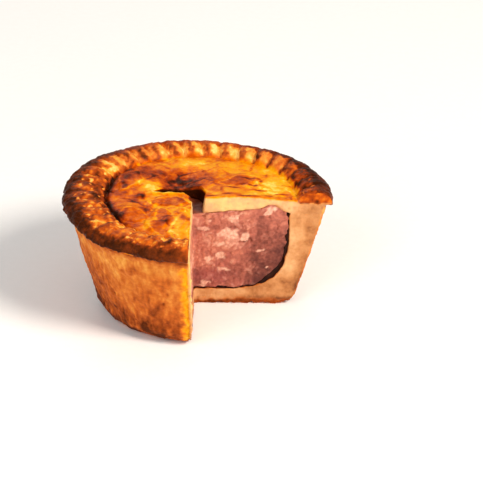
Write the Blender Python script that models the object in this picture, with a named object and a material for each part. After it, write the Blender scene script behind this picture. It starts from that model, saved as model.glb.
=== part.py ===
"""A raised pork pie with a quarter cut out, for Blender 4.5.

Four pieces share one upright axis: the pastry case, the pork filling, the
jelly that set between the two, and the lid with its steam hole and crimped
rim. Each is turned from its own outline, made uneven by one warp that all four
follow, and then cut by the same two knife cuts.

Units are metres and +Z is up. The origin is on the surface that the pie stands
on, under the centre of its box. The cut quarter is at +X, -Y.
"""

import math

import bmesh
import bpy
from mathutils import Matrix, Vector

# The pie's own axis, placed so that the finished box is centred on the origin.
AXIS_X = 0.000415
AXIS_Y = -0.000425

# Case: a tapered wall that rises from a flat base through a rounded edge.
BASE_FLAT_RADIUS = 0.0322
WALL_FOOT_RADIUS = 0.0398
WALL_FOOT_HEIGHT = 0.0078
WALL_TOP_RADIUS = 0.0484
JOINT_HEIGHT = 0.0390
WALL_BULGE = 0.0004
FOOT_STEPS = 4
WALL_STEPS = 5

# Cavity: a bowl with full corners, whose outline is a superellipse.
CAVITY_RADIUS = 0.0370
CAVITY_FLOOR = 0.0062
CAVITY_POWER = 4.0
BOWL_STEPS = 11

# Jelly: thin at the mouth, thick round the meat's lower corner, thin again under
# it. Shares are of the way from the cavity's mouth to the middle of its floor.
JELLY_THINNEST = 0.0005
JELLY_AT_CORNER = 0.0019
JELLY_AT_SIDE = 0.0011
JELLY_FULL_SHARE = 0.25
JELLY_CORNER_SHARE = 0.50
JELLY_CORNER_SPREAD = 0.16
JELLY_THINS_FROM, JELLY_THINS_TO = 0.55, 0.85

# Lid: a disc of pastry, a little domed, that runs out into the rim's roll.
LID_THICKNESS = 0.0048
LID_DOME = 0.0008
DOME_POWER = 4
GROOVE_RADIUS = 0.0402
GROOVE_DROP = 0.0010
GROOVE_POWER = 12
LID_RINGS = (0.90, 0.74, 0.54, 0.34, 0.16, 0.0)
ROLL_RADIUS = 0.0466
ROLL_HEIGHT = 0.0429
ROLL_HALF_WIDTH = 0.0054
ROLL_HALF_HEIGHT = 0.0047
ROLL_FIRST_DEG = -18
ROLL_LAST_DEG = 165
ROLL_STEPS = 9
RIM_RADIUS = ROLL_RADIUS + ROLL_HALF_WIDTH

# Crimps: thumb marks pinched across the roll, leaning a little one way.
CRIMPS = 38
CRIMP_DEPTH = 0.0016
CRIMP_ROUNDNESS = 0.8
CRIMP_LEAN = 0.35
CRIMP_DRIFT = 0.045
DRIFTS = 3.0
CRIMPS_START_DEG = -16
CRIMPS_FULL_DEG = 23

# Steam hole: an oval that the knife just meets, with the lid sunk behind it.
HOLE_X = -0.0062
HOLE_Y = 0.0063
HOLE_HALF_LENGTH = 0.0104
HOLE_HALF_WIDTH = 0.0066
HOLE_TURN_DEG = -32
HOLE_FLARE = 1.12
HOLE_SIDES = 32
HOLE_OVERCUT = 0.004
SINK_X = -0.0080
SINK_Y = 0.0150
SINK_DEPTH = 0.0030
SINK_SPREAD = 0.0085

# Cuts: one in to the corner from about -Y, one out of it towards about +X.
CORNER_X = -0.0026
CORNER_Y = -0.0001
FIRST_CUT_DEG = 1.6
SECOND_CUT_DEG = 4.0
CUT_REACH = 0.080

# Unevenness of hand-made pastry, as shares of the radius and as heights.
OUT_OF_ROUND = ((2, 0.006, 0.6), (3, 0.007, 2.1), (5, 0.003, 4.0))
TOP_WAVES = ((2, 0.0006, 1.2), (3, 0.0004, 3.9), (7, 0.0002, 0.4))
TOP_WAVES_FROM = 0.028
WAVES_START_RADIUS = 0.2 * RIM_RADIUS
WAVES_FULL_RADIUS = 0.8 * RIM_RADIUS

# Clearance between pieces, the distance that counts as none, and steps per turn.
GAP = 0.0003
FIT = 0.00001
CASE_STEPS = 56
LID_STEPS = 4 * CRIMPS

# Edges that turn by more than this are shaded crisp.
CRISP_DEG = 50


def smooth_step(low, high, value):
    """0 below low, 1 above high, and an even S between them."""
    share = min(1.0, max(0.0, (value - low) / (high - low)))
    return share * share * (3.0 - 2.0 * share)


def waves(terms, angle):
    """A sum of cosines round the axis, each (how many, how much, where)."""
    return sum(much * math.cos(many * angle + where) for many, much, where in terms)


def bowl(radius, top, floor):
    """Outline points of the cavity, from its mouth to the middle of its floor."""
    depth = top - floor
    points = []
    for step in range(BOWL_STEPS + 1):
        turn = 0.5 * math.pi * step / BOWL_STEPS
        out = max(0.0, math.cos(turn)) ** (2.0 / CAVITY_POWER)
        down = math.sin(turn) ** (2.0 / CAVITY_POWER)
        points.append(Vector((radius * out, top - depth * down)))
    return points


def jelly_thickness(share):
    """Thickness of the jelly, share of the way from the mouth to the floor."""
    side = JELLY_AT_SIDE * smooth_step(0.0, JELLY_FULL_SHARE, share)
    corner = math.exp(-(((share - JELLY_CORNER_SHARE) / JELLY_CORNER_SPREAD) ** 2))
    floor = smooth_step(JELLY_THINS_FROM, JELLY_THINS_TO, share)
    thick = side + (JELLY_AT_CORNER - JELLY_AT_SIDE) * corner
    return JELLY_THINNEST + thick * (1.0 - floor)


def inside_of(outline, thickness_at):
    """The outline moved inwards; its first point stays level, its last on the axis."""
    last = len(outline) - 1
    moved = []
    for index, point in enumerate(outline):
        before = outline[max(0, index - 1)]
        after = outline[min(last, index + 1)]
        along = (after - before).normalized()
        inward = Vector((along.y, -along.x))
        if inward.x > 0.0:
            inward = -inward
        if index == 0:
            inward = Vector((-1.0, 0.0))
        if index == last:
            inward = Vector((0.0, 1.0))
        moved.append(point + inward * thickness_at(index / last))
    return moved


def cavity_outline():
    """The case's inner wall and floor."""
    return bowl(CAVITY_RADIUS, JOINT_HEIGHT, CAVITY_FLOOR)


def case_outline():
    """Base, rounded foot, bowed wall, level top, then the cavity back to the axis."""
    points = [Vector((0.0, 0.0)), Vector((BASE_FLAT_RADIUS, 0.0))]
    for step in range(1, FOOT_STEPS + 1):
        turn = 0.5 * math.pi * step / FOOT_STEPS
        across = BASE_FLAT_RADIUS + (WALL_FOOT_RADIUS - BASE_FLAT_RADIUS) * math.sin(turn)
        points.append(Vector((across, WALL_FOOT_HEIGHT * (1.0 - math.cos(turn)))))
    for step in range(1, WALL_STEPS + 1):
        share = step / WALL_STEPS
        across = WALL_FOOT_RADIUS + (WALL_TOP_RADIUS - WALL_FOOT_RADIUS) * share
        bow = WALL_BULGE * math.sin(math.pi * share)
        height = WALL_FOOT_HEIGHT + (JOINT_HEIGHT - WALL_FOOT_HEIGHT) * share
        points.append(Vector((across + bow, height)))
    return points + cavity_outline()


def jelly_outline():
    """The skin of jelly between the cavity and the meat."""
    outer = inside_of(cavity_outline(), lambda share: GAP)
    inner = inside_of(cavity_outline(), lambda share: GAP + jelly_thickness(share))
    return outer + inner[::-1]


def filling_outline():
    """The meat, from its level top down its side to the middle of its floor."""
    side = inside_of(cavity_outline(), lambda share: 2.0 * GAP + jelly_thickness(share))
    return [Vector((0.0, JOINT_HEIGHT))] + side


def lid_outline():
    """Level underside, the rim's roll from below its lip over its crest, then the top."""
    under = JOINT_HEIGHT + GAP
    surface = under + LID_THICKNESS
    points = [Vector((0.0, under)), Vector((CAVITY_RADIUS, under))]
    points.append(Vector((WALL_TOP_RADIUS + GAP, under)))
    for step in range(ROLL_STEPS + 1):
        share = step / ROLL_STEPS
        turn = math.radians(ROLL_FIRST_DEG + (ROLL_LAST_DEG - ROLL_FIRST_DEG) * share)
        across = ROLL_RADIUS + ROLL_HALF_WIDTH * math.cos(turn)
        points.append(Vector((across, ROLL_HEIGHT + ROLL_HALF_HEIGHT * math.sin(turn))))
    points.append(Vector((GROOVE_RADIUS, surface - GROOVE_DROP)))
    for share in LID_RINGS:
        dome = LID_DOME * (1.0 - share ** DOME_POWER)
        height = surface + dome - GROOVE_DROP * share ** GROOVE_POWER
        points.append(Vector((GROOVE_RADIUS * share, height)))
    return points


def turned(name, outline, steps):
    """A closed solid made by turning an outline of (radius, height) once round."""
    mesh = bmesh.new()
    verts = [mesh.verts.new((point.x, 0.0, point.y)) for point in outline]
    edges = [mesh.edges.new(pair) for pair in zip(verts, verts[1:])]
    if outline[0].x > FIT:
        edges.append(mesh.edges.new((verts[-1], verts[0])))
    bmesh.ops.spin(
        mesh,
        geom=verts + edges,
        cent=(0.0, 0.0, 0.0),
        axis=(0.0, 0.0, 1.0),
        angle=2.0 * math.pi,
        steps=steps,
        use_merge=True,
    )
    bmesh.ops.remove_doubles(mesh, verts=mesh.verts, dist=FIT)
    bmesh.ops.recalc_face_normals(mesh, faces=mesh.faces)
    data = bpy.data.meshes.new(name)
    mesh.to_mesh(data)
    mesh.free()
    piece = bpy.data.objects.new(name, data)
    bpy.context.scene.collection.objects.link(piece)
    return piece


def crimp_height(angle, lean):
    """How far a place on the roll stands up: 1 on a crimp, 0 in the mark between two."""
    drifted = angle + CRIMP_DRIFT * math.sin(DRIFTS * angle + 1.0)
    return abs(math.sin(0.5 * CRIMPS * drifted + lean)) ** CRIMP_ROUNDNESS


def pinch(point):
    """Presses the crimps into the rim's roll, towards the roll's own centre line."""
    radius = math.hypot(point.x, point.y)
    angle = math.atan2(point.y, point.x)
    across, up = radius - ROLL_RADIUS, point.z - ROLL_HEIGHT
    turn = math.atan2(up / ROLL_HALF_HEIGHT, across / ROLL_HALF_WIDTH)
    if radius < GROOVE_RADIUS + FIT or point.z < JOINT_HEIGHT + 2.0 * GAP:
        return point
    reach = smooth_step(math.radians(CRIMPS_START_DEG), math.radians(CRIMPS_FULL_DEG), turn)
    mark = CRIMP_DEPTH * reach * (1.0 - crimp_height(angle, CRIMP_LEAN * turn))
    size = max(math.hypot(across, up), FIT)
    share = 1.0 - mark / size
    out = ROLL_RADIUS + across * share
    return Vector((out * math.cos(angle), out * math.sin(angle), ROLL_HEIGHT + up * share))


def sink(point):
    """Lowers the lid's top behind the steam hole, where it fell in while baking."""
    surface = JOINT_HEIGHT + GAP + LID_THICKNESS
    top_only = smooth_step(JOINT_HEIGHT + 2.0 * GAP, surface - GROOVE_DROP, point.z)
    away = math.hypot(point.x - SINK_X, point.y - SINK_Y)
    fall = SINK_DEPTH * math.exp(-((away / SINK_SPREAD) ** 2))
    return Vector((point.x, point.y, point.z - fall * top_only))


def settle(point):
    """The unevenness that every piece shares, so that they still fit each other."""
    angle = math.atan2(point.y, point.x)
    stretch = 1.0 + waves(OUT_OF_ROUND, angle)
    radius = math.hypot(point.x, point.y)
    outer = smooth_step(WAVES_START_RADIUS, WAVES_FULL_RADIUS, radius)
    lift = waves(TOP_WAVES, angle) * outer * smooth_step(TOP_WAVES_FROM, JOINT_HEIGHT, point.z)
    return Vector((point.x * stretch, point.y * stretch, point.z + lift))


def warp(piece, *rules):
    """Moves every vertex of a piece by each rule in turn."""
    for vertex in piece.data.vertices:
        for rule in rules:
            vertex.co = rule(vertex.co)


def as_cutter(piece):
    """A helper that cuts other pieces and isn't part of the pie."""
    piece.hide_render = True
    piece.display_type = "WIRE"
    return piece


def quarter_cutter():
    """The space that the missing quarter filled, well past the pie's top and side."""
    first, second = math.radians(FIRST_CUT_DEG), math.radians(SECOND_CUT_DEG)
    corner = Vector((CORNER_X, CORNER_Y, -CUT_REACH))
    outline = (
        corner,
        corner + CUT_REACH * Vector((math.tan(first), -1.0, 0.0)),
        corner + Vector((CUT_REACH, -CUT_REACH, 0.0)),
        corner + CUT_REACH * Vector((1.0, math.tan(second), 0.0)),
    )
    mesh = bmesh.new()
    face = mesh.faces.new([mesh.verts.new(point) for point in outline])
    grown = bmesh.ops.extrude_face_region(mesh, geom=[face])
    raised = [item for item in grown["geom"] if isinstance(item, bmesh.types.BMVert)]
    bmesh.ops.translate(mesh, verts=raised, vec=(0.0, 0.0, 2.0 * CUT_REACH))
    bmesh.ops.recalc_face_normals(mesh, faces=mesh.faces)
    data = bpy.data.meshes.new("quarter_cutter")
    mesh.to_mesh(data)
    mesh.free()
    piece = bpy.data.objects.new("quarter_cutter", data)
    bpy.context.scene.collection.objects.link(piece)
    return as_cutter(piece)


def hole_cutter():
    """An oval plug, wider at its top, through the lid at the steam hole."""
    bottom, top = JOINT_HEIGHT - HOLE_OVERCUT, ROLL_HEIGHT + 2.0 * ROLL_HALF_HEIGHT
    mesh = bmesh.new()
    bmesh.ops.create_cone(
        mesh,
        cap_ends=True,
        segments=HOLE_SIDES,
        radius1=HOLE_HALF_LENGTH,
        radius2=HOLE_HALF_LENGTH * HOLE_FLARE,
        depth=top - bottom,
    )
    narrow = Matrix.Diagonal((1.0, HOLE_HALF_WIDTH / HOLE_HALF_LENGTH, 1.0, 1.0))
    bmesh.ops.transform(mesh, matrix=narrow, verts=mesh.verts)
    data = bpy.data.meshes.new("hole_cutter")
    mesh.to_mesh(data)
    mesh.free()
    piece = bpy.data.objects.new("hole_cutter", data)
    bpy.context.scene.collection.objects.link(piece)
    piece.location = (HOLE_X, HOLE_Y, 0.5 * (top + bottom))
    piece.rotation_euler = (0.0, 0.0, math.radians(HOLE_TURN_DEG))
    return as_cutter(piece)


def cut_by(piece, cutter):
    """Takes a cutter's space out of a piece."""
    cut = piece.modifiers.new("cut_" + cutter.name, "BOOLEAN")
    cut.operation = "DIFFERENCE"
    cut.solver = "EXACT"
    cut.object = cutter


def finish(piece, red, green, blue, roughness):
    """Gives a piece its colour and a smooth shaded surface with crisp cut edges."""
    material = bpy.data.materials.new(piece.name)
    material.use_nodes = True
    shader = material.node_tree.nodes["Principled BSDF"]
    shader.inputs["Base Color"].default_value = (red, green, blue, 1.0)
    shader.inputs["Roughness"].default_value = roughness
    shader.inputs["Metallic"].default_value = 0.0
    piece.data.materials.append(material)
    piece.data.shade_smooth()
    piece.data.set_sharp_from_angle(angle=math.radians(CRISP_DEG))


def build():
    """Makes the four pieces, fits them to each other and cuts the quarter out."""
    for old in list(bpy.data.objects):
        bpy.data.objects.remove(old)

    case = turned("case", case_outline(), CASE_STEPS)
    jelly = turned("jelly", jelly_outline(), CASE_STEPS)
    filling = turned("filling", filling_outline(), CASE_STEPS)
    lid = turned("lid", lid_outline(), LID_STEPS)
    warp(lid, pinch, sink)

    finish(case, 0.62, 0.25, 0.05, 0.65)
    finish(jelly, 0.06, 0.02, 0.01, 0.25)
    finish(filling, 0.52, 0.17, 0.12, 0.45)
    finish(lid, 0.70, 0.24, 0.02, 0.35)

    pie = bpy.data.objects.new("pie_axis", None)
    bpy.context.scene.collection.objects.link(pie)
    pie.location = (AXIS_X, AXIS_Y, 0.0)
    quarter, hole = quarter_cutter(), hole_cutter()
    for piece in (case, jelly, filling, lid, quarter, hole):
        piece.parent = pie
    cut_by(lid, hole)
    for piece in (case, jelly, filling, lid):
        warp(piece, settle)
        cut_by(piece, quarter)


build()
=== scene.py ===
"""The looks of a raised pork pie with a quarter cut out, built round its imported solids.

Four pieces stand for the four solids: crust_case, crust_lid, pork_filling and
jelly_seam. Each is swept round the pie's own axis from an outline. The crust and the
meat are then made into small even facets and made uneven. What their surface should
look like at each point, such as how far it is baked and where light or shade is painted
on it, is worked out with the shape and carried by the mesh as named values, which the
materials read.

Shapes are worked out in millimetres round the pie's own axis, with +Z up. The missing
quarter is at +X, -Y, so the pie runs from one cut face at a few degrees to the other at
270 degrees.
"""

import itertools
import math

import bpy
import numpy as np
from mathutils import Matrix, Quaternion, Vector


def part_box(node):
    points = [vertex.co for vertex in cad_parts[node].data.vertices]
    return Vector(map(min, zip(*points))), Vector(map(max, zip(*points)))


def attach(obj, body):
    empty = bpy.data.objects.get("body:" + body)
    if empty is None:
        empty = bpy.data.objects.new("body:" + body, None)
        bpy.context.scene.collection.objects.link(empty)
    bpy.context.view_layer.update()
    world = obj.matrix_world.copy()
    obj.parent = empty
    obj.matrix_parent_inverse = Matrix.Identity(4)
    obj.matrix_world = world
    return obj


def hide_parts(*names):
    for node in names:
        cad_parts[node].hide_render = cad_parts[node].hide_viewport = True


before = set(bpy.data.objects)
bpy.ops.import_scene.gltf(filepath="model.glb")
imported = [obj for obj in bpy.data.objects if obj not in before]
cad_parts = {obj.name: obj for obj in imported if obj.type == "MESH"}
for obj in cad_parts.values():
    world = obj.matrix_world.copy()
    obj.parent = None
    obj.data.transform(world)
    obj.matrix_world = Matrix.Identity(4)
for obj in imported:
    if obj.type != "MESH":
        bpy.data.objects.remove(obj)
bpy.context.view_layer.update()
_, case_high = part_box("case")
lid_low, lid_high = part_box("lid")

MM = 0.001

# The pie's own axis in the frame, and the corner of the cut from that axis.
AXIS = np.array((0.4, -0.4))
CORNER = np.array((-2.6, -0.1))

# The two cut faces. The meat stops a little short of the last one, and the foot of the
# first one leans towards the missing quarter near the corner.
FIRST_DEG, LAST_DEG = 4.0, 271.6
MEAT_LAST_DEG = 270.4
FIRST_CUT_LEAN, LEAN_REACH = 1.5, 14.0

# Case, as the solids have it: a tapered wall on a rounded foot. The crimps and the wall's
# relief stand out into the room that is left for them.
RIM_RADIUS = 0.5 * (lid_high.x - lid_low.x) / MM
CRIMP_ROOM, WALL_ROOM = 0.9, 0.2
RIM_TOP = lid_high.z / MM - CRIMP_ROOM
FLAT_RADIUS = 31.0
FOOT_RADIUS, FOOT_HEIGHT = 39.5, 8.6
WALL_RADIUS = case_high.x / MM - WALL_ROOM
JOINT = 39.15
OVERLAP = 1.0
WALL_BULGE = 0.4

# Cavity: a bowl with full corners, whose outline is a superellipse.
CAVITY_RADIUS, CAVITY_FLOOR, CAVITY_POWER = 35.3, 6.2, 4.0

# Jelly seam: thin under the meat, thick round its lower corner, set back at the cuts, and
# reaching a little way into the crust and the meat so that no gap shows.
SEAM_THIN, SEAM_CORNER, SEAM_SIDE = 0.55, 1.7, 0.7
SEAM_RECESS = 0.5
SEAM_INTO_CRUST, SEAM_INTO_MEAT, SEAM_UNDER_JOINT = 0.7, 0.9, 0.6

# Lid and rim. The rim is a roll, whose outline runs between two angles and whose underside
# hangs down by a different amount at each place round the pie. The lid laps the wall.
LID_TOP, LID_DOME = 44.2, 0.9
LID_LAP = 0.15
GROOVE_HEIGHT = 43.8
GROOVE_RADII = ((0, 38.6), (30, 39.6), (60, 40.8), (110, 40.6), (140, 38.6), (165, 36.8),
                (205, 36.6), (240, 38.0), (270, 38.8))
ROLL_RADIUS, ROLL_HEIGHT = 45.5, 42.9
ROLL_FROM_DEG, ROLL_TO_DEG = -62.0, 168.0
ROLL_OUT = RIM_RADIUS - ROLL_RADIUS
ROLL_UP = RIM_TOP - ROLL_HEIGHT
ROLL_DOWNS = ((0, 0.9), (24, 0.9), (62, 2.4), (120, 2.6), (165, 1.2), (205, 0.6), (235, 0.8),
              (250, 1.6), (262, 2.1), (272, 2.3))

# Crimps: a pad between two thumb marks, as many as on the solid lid, and how strongly
# they are pressed in round the pie.
CRIMPS = 38
PITCH_DEG = 360.0 / CRIMPS
PITCH = math.radians(PITCH_DEG) * ROLL_RADIUS
MARK_WIDTH = 0.75
CRIMP_SHARES = ((0, 0.45), (22, 0.55), (38, 0.9), (60, 1.0), (128, 1.0), (150, 0.85), (170, 0.5),
                (205, 0.4), (235, 0.35), (262, 0.3), (272, 0.3))

# Steam hole: the bends of its edge, which the knife has met, how far down and up it is cut
# and how it widens upwards. The lid has sunk at its far side.
HOLE_BENDS = ((-17.2, 3.2), (-13.5, 2.4), (-9.5, 2.8), (-6.0, 2.2), (-3.6, 0.6), (-2.6, -3.0),
              (1.2, -3.2), (1.6, 2.0), (1.4, 7.0), (-1.0, 11.4), (-5.5, 12.2), (-10.0, 10.6),
              (-14.8, 7.0))
HOLE_FROM, HOLE_TO, HOLE_FLARE = 35.0, 52.0, 0.022
SINK = np.array((-5.5, 15.0))
SINK_DEPTH, SINK_SPREAD = 3.0, 8.0

# Steps round the pie, and facet sizes that keep each piece under 200,000 triangles.
CASE_STEPS, LID_STEPS, MEAT_STEPS, JELLY_STEPS = 260, 448, 220, 200
CASE_FACET, LID_FACET, MEAT_FACET = 0.55, 0.44, 0.42
WELD = 0.01

# Unevenness that all pieces share: (waves round the pie, how much, where).
OUT_OF_ROUND = ((1, 0.009, -0.7), (2, 0.006, 0.6), (3, 0.007, 2.1), (5, 0.003, 4.0))
TOP_WAVES = ((2, 0.6, 1.2), (3, 0.4, 3.9), (7, 0.2, 0.4))
RIGHT_TUCK, RIGHT_TUCK_DEG = 0.022, 15.0

# Large odd numbers that mix a cell's whole numbers into one that looks random.
HASH_STEPS = (73856093, 19349663, 83492791)
HASH_MIX = 1274126177


# ---------------------------------------------------------------- numbers and noise


def smooth(low, high, value):
    """0 below low, 1 above high, and an even S between them."""
    share = np.clip((value - low) / (high - low), 0.0, 1.0)
    return share * share * (3.0 - 2.0 * share)


def bump(value, width):
    """1 where value is 0, falling off evenly to nearly 0 at twice width."""
    return np.exp(-((value / width) ** 2))


def along(angle_deg, stops):
    """A value read off stops of (degrees, value) round the pie."""
    where, what = zip(*stops)
    return np.interp(angle_deg, where, what)


def hashed(cells, seed):
    """A repeatable number from 0 to 1 for each whole-numbered cell of space."""
    mixed = np.full(cells.shape[:-1], seed * HASH_MIX, np.int64)
    for axis, step in enumerate(HASH_STEPS):
        mixed = mixed ^ (cells[..., axis].astype(np.int64) * step)
    mixed = (mixed ^ (mixed >> 13)) * HASH_MIX
    mixed = (mixed ^ (mixed >> 15)) * HASH_STEPS[0]
    return ((mixed ^ (mixed >> 17)) & 0xFFFFF) / 0xFFFFF


def one_layer(where, seed):
    """Gradient noise, about -1 to 1, with one bump to each unit of space."""
    base = np.floor(where)
    part = where - base
    ease = part ** 3 * (part * (part * 6.0 - 15.0) + 10.0)
    total = np.zeros(len(where))
    for step in itertools.product((0, 1), repeat=3):
        cell = base + step
        slope = np.stack([hashed(cell, seed + axis) for axis in range(3)], -1) * 2.0 - 1.0
        weight = np.prod(np.where(step, ease, 1.0 - ease), -1)
        total += weight * ((part - step) * slope).sum(-1)
    return 1.7 * total


def lumps(points, size, seed, layers=3):
    """Soft unevenness, about -1 to 1, whose largest bumps are about size mm apart."""
    total, strength = 0.0, 1.0
    for layer in range(layers):
        total = total + strength * one_layer(points * (2.0 ** layer / size) + 7.3 * layer, seed)
        strength *= 0.5
    return total


def level(x, y, height):
    """Points at one height over x and y, which may be arrays of any shape."""
    return np.stack([x, y, np.full_like(x, height)], -1).reshape(-1, 3)


def level_lumps(x, y, height, size, seed, layers=2):
    """Soft unevenness over x and y, in their shape."""
    return lumps(level(x, y, height), size, seed, layers).reshape(x.shape)


def cells(points, size, seed):
    """Space split into lumps about size mm across.

    Gives how far each point is from the nearest seam and from its lump's middle, in mm,
    and a number from 0 to 1 for the lump it is in.
    """
    where = points / size
    base = np.floor(where)
    near = np.full(len(where), 9.0)
    second = near.copy()
    number = np.zeros(len(where))
    for step in itertools.product((-1, 0, 1), repeat=3):
        cell = base + step
        middle = cell + np.stack([hashed(cell, seed + axis) for axis in range(3)], -1)
        away = np.sqrt(((where - middle) ** 2).sum(-1))
        closer = away < near
        second = np.where(closer, near, np.minimum(second, away))
        number = np.where(closer, hashed(cell, seed + 5), number)
        near = np.where(closer, away, near)
    return (second - near) * 0.5 * size, near * size, number


# ---------------------------------------------------------------- shared shape


def stretch(angle):
    """How far out the pie reaches at an angle, as a share of a true circle."""
    share = 1.0 + sum(much * np.cos(many * angle + where) for many, much, where in OUT_OF_ROUND)
    from_right = np.degrees(np.arctan2(np.sin(angle), np.cos(angle))) - FIRST_DEG
    return share - RIGHT_TUCK * bump(from_right, RIGHT_TUCK_DEG)


def lift(angle, radius, height):
    """How far the top of the pie waves up and down."""
    outer = smooth(0.2 * RIM_RADIUS, 0.8 * RIM_RADIUS, radius)
    waves = sum(much * np.cos(many * angle + where) for many, much, where in TOP_WAVES)
    return waves * outer * smooth(28.0, JOINT, height)


def wall_radius(height):
    """Radius of the case's outside at a height."""
    share = np.clip((height - FOOT_HEIGHT) / (JOINT - FOOT_HEIGHT), 0.0, 1.3)
    wall = FOOT_RADIUS + (WALL_RADIUS - FOOT_RADIUS) * share
    wall = wall + WALL_BULGE * np.sin(math.pi * np.minimum(share, 1.0))
    drop = np.clip((FOOT_HEIGHT - height) / FOOT_HEIGHT, 0.0, 1.0)
    foot = FLAT_RADIUS + (FOOT_RADIUS - FLAT_RADIUS) * np.sqrt(1.0 - drop * drop)
    return np.where(height > FOOT_HEIGHT, wall, foot)


def meat_rise(x, y):
    """How far the meat pushes up into the lid above the level of the joint."""
    knob = 2.4 * bump(np.hypot((x - 28.2) / 1.25, y - 2.0), 2.6)
    knob = knob + 0.9 * smooth(4.0, 24.0, x) * smooth(34.0, 28.0, x)
    dip = 1.1 * bump(np.hypot(x, y), 6.5)
    return knob - dip + 0.35 * level_lumps(x, y, 3.0, 7.0, 11)


def ragged_plan(x, y):
    """Plan positions shifted unevenly, so that what is drawn with them isn't regular."""
    aside, ahead = (2.2 * level_lumps(x, y, 5.0, 9.0, 25 + axis, 3) for axis in range(2))
    return x + aside, y + ahead


def lid_cracks(x, y):
    """1 along the fine cracks of the baked glaze, which come and go."""
    points = level(*ragged_plan(x, y), 5.0)
    seam, _, _ = cells(points * (0.8, 1.0, 1.0), 7.5, 28)
    here = smooth(-0.1, 0.5, lumps(points, 8.0, 29, 2))
    return (bump(seam, 0.3) * here).reshape(x.shape)


def leaf(x, y, middle, length, width, turn_deg):
    """How far inside a leaf-shaped patch a point is, in mm, below 0 outside it."""
    turn = math.radians(turn_deg)
    over, up = x - middle[0], y - middle[1]
    run = (over * math.cos(turn) + up * math.sin(turn)) / length
    side = np.abs(-over * math.sin(turn) + up * math.cos(turn))
    return width * (1.0 - run * run) - side


# Raised patches of pastry on the lid: middle, half length, half width, turn, rise, baked.
LEAVES = (
    ((-12.6, -23.0), 13.0, 4.8, 97.0, 0.55, 0.08),
    ((-10.0, -5.6), 8.5, 4.6, -4.0, 0.50, 0.12),
    ((-4.6, -25.0), 16.0, 3.4, 91.0, 0.25, -0.04),
    ((-24.5, -18.5), 8.0, 4.6, 128.0, 0.30, 0.08),
    ((15.5, 17.5), 8.0, 4.6, 18.0, 0.35, 0.08),
    ((29.0, 11.0), 10.0, 3.2, -34.0, 0.30, -0.06),
    ((-27.0, 12.0), 10.0, 5.0, 74.0, 0.40, 0.10),
)


# How much deeper than usual the groove inside the rim is round the pie.
GROOVE_DEPTHS = ((0, 0.3), (60, 0.0), (132, 0.3), (158, 1.8), (190, 3.2), (205, 2.4),
                 (226, 1.0), (245, 0.7), (270, 0.7))


def hole_edge(count):
    """Points along the steam hole's edge: its bends joined by smooth curves, a bit ragged."""
    bends = np.array(HOLE_BENDS)
    place = np.linspace(0.0, len(bends), count, endpoint=False)
    index = place.astype(int)
    part = (place - index)[:, None]
    before, here, after, later = (bends[(index + step) % len(bends)] for step in (-1, 0, 1, 2))
    curve = 0.5 * (2.0 * here + (after - before) * part
                   + (2.0 * before - 5.0 * here + 4.0 * after - later) * part ** 2
                   + (3.0 * here - before - 3.0 * after + later) * part ** 3)
    shift = [level_lumps(curve[:, 0], curve[:, 1], 2.0, 2.4, 23 + axis) for axis in range(2)]
    return curve + 0.35 * np.stack(shift, -1)


def from_hole(x, y):
    """Distance from the steam hole's edge."""
    flat = np.stack([x.ravel(), y.ravel()], -1)
    away = np.min([np.hypot(*(flat - point).T) for point in hole_edge(64)], 0)
    return away.reshape(x.shape)


def lid_top(x, y):
    """Height of the lid's top."""
    radius = np.hypot(x, y)
    angle_deg = np.degrees(np.arctan2(y, x)) % 360.0
    share = np.clip(radius / along(angle_deg, GROOVE_RADII), 0.0, 1.0)
    height = LID_TOP + LID_DOME * (1.0 - share ** 4)
    height = height + 0.75 * level_lumps(x, y, 9.0, 15.0, 21)
    height = height + 0.28 * level_lumps(x, y, 9.0, 5.0, 22)
    bent_x, bent_y = ragged_plan(x, y)
    for middle, length, width, turn, rise, _ in LEAVES:
        inside = leaf(bent_x, bent_y, middle, length, width, turn)
        height = height + rise * smooth(-0.4, 0.7, inside) + 0.6 * rise * bump(inside - 0.3, 0.5)
    height = height - 0.25 * lid_cracks(x, y)
    fall = SINK_DEPTH * bump(np.hypot((x - SINK[0]) / 1.1, y - SINK[1]), SINK_SPREAD)
    near_side = smooth(7.0, 2.0, y) * smooth(0.0, -4.0, x)
    height = height - fall * (1.0 - 0.75 * near_side)
    height = height + 0.8 * near_side * bump(from_hole(x, y), 1.5)
    edge = GROOVE_HEIGHT - along(angle_deg, GROOVE_DEPTHS)
    return height + (edge - height) * smooth(0.92, 1.0, share) ** 1.4


# ---------------------------------------------------------------- sweeping and remeshing


def round_pie(radius, angle):
    """x, y of a point at a radius from the pie's axis, swept about the cut's corner."""
    over, up = np.cos(angle), np.sin(angle)
    reach = radius - (CORNER[0] * over + CORNER[1] * up) * smooth(0.0, 12.0, radius)
    return CORNER[0] + reach * over, CORNER[1] + reach * up


def turns(last_deg, count):
    """Even steps from the first cut to the last, in degrees and radians, and ones to match."""
    degrees = np.linspace(FIRST_DEG, last_deg, count)
    return degrees, np.radians(degrees), np.ones(count)


def swept(radius, height, angles):
    """A closed body from outlines: radius and height are (outline points, angles) arrays."""
    count, steps = radius.shape
    out = radius * stretch(angles)
    up = height + lift(angles, radius, height)
    x, y = round_pie(out, angles)
    verts = np.stack([x, y, up], -1).transpose(1, 0, 2).reshape(-1, 3)
    faces = []
    for step in range(steps - 1):
        here, there = step * count, (step + 1) * count
        for point in range(count):
            after = (point + 1) % count
            faces.append((here + point, there + point, there + after, here + after))
    faces.append(tuple(range(count)))
    faces.append(tuple(reversed(range((steps - 1) * count, steps * count))))
    return verts, faces


def object_from(name, verts, faces):
    """A piece in the scene, made of points and faces."""
    mesh = bpy.data.meshes.new(name)
    mesh.from_pydata(verts.tolist(), [], faces)
    mesh.validate()
    piece = bpy.data.objects.new(name, mesh)
    bpy.context.scene.collection.objects.link(piece)
    return piece


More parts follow.
